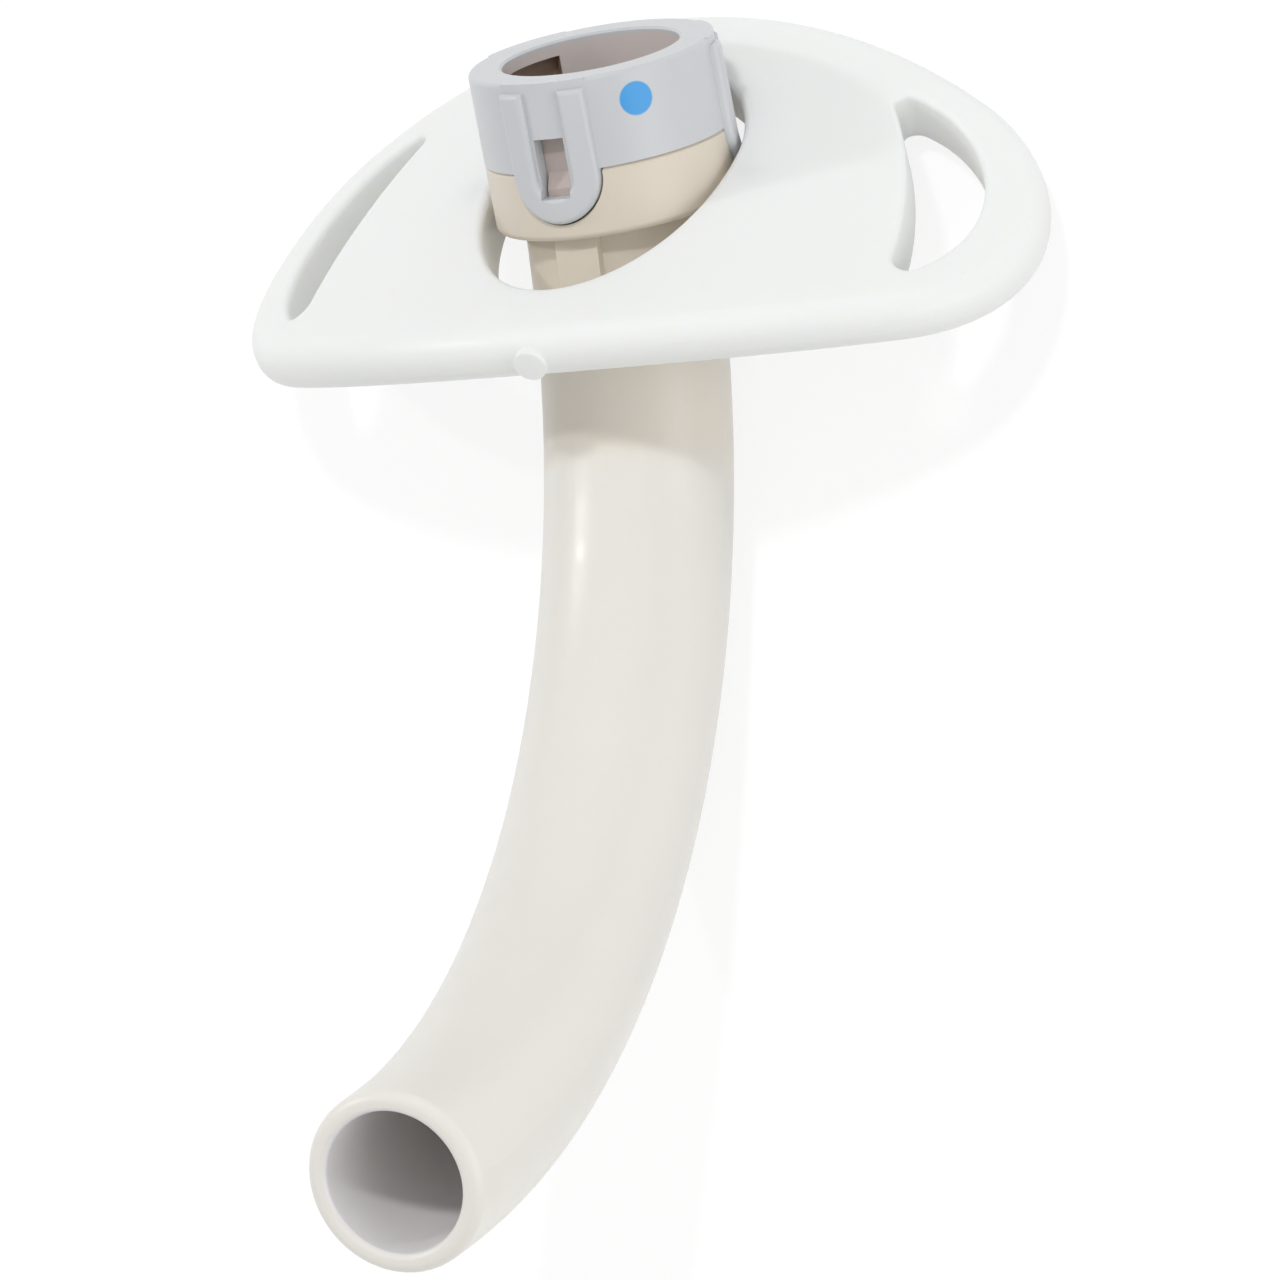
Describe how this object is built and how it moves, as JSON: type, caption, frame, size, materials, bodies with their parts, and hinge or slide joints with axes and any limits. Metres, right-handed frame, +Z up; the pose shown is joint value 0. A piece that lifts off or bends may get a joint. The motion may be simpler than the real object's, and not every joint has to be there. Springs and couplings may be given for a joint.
{
  "type": "tracheostomy tube",
  "caption": "Uncuffed tracheostomy tube: a curved white airway tube bonded in a hub, with a clip-on ring and a swivelling neck plate with slots for a tie.",
  "frame": {"origin": "middle of the footprint, on the table that the part lies on", "axes": "+Z up from the table; the part lies on the tube's back and both wings of the neck plate, which is wide along X; the hub's mouth opens towards +Y and up, and the tube curves up towards -Y"},
  "size_m": [0.056, 0.0876, 0.0391],
  "materials": {
    "outer_cannula": "soft satin white plastic",
    "hub": "satin tan plastic",
    "clip_ring": "satin light grey plastic with a printed blue dot",
    "neck_plate": "soft matte white plastic"
  },
  "bodies": {
    "tube_body": {"outer_cannula": "outer_cannula", "hub": "hub", "clip_ring": "clip_ring"},
    "plate_body": {"neck_plate": "neck_plate"}
  },
  "joints": [
    {"name": "neck_plate_swivel", "type": "hinge", "parent": "tube_body", "child": "plate_body", "pos_m": [0, 0.03017, 0.01015], "axis": [1, 0, 0], "range_deg": [-54.9, 0]}
  ]
}
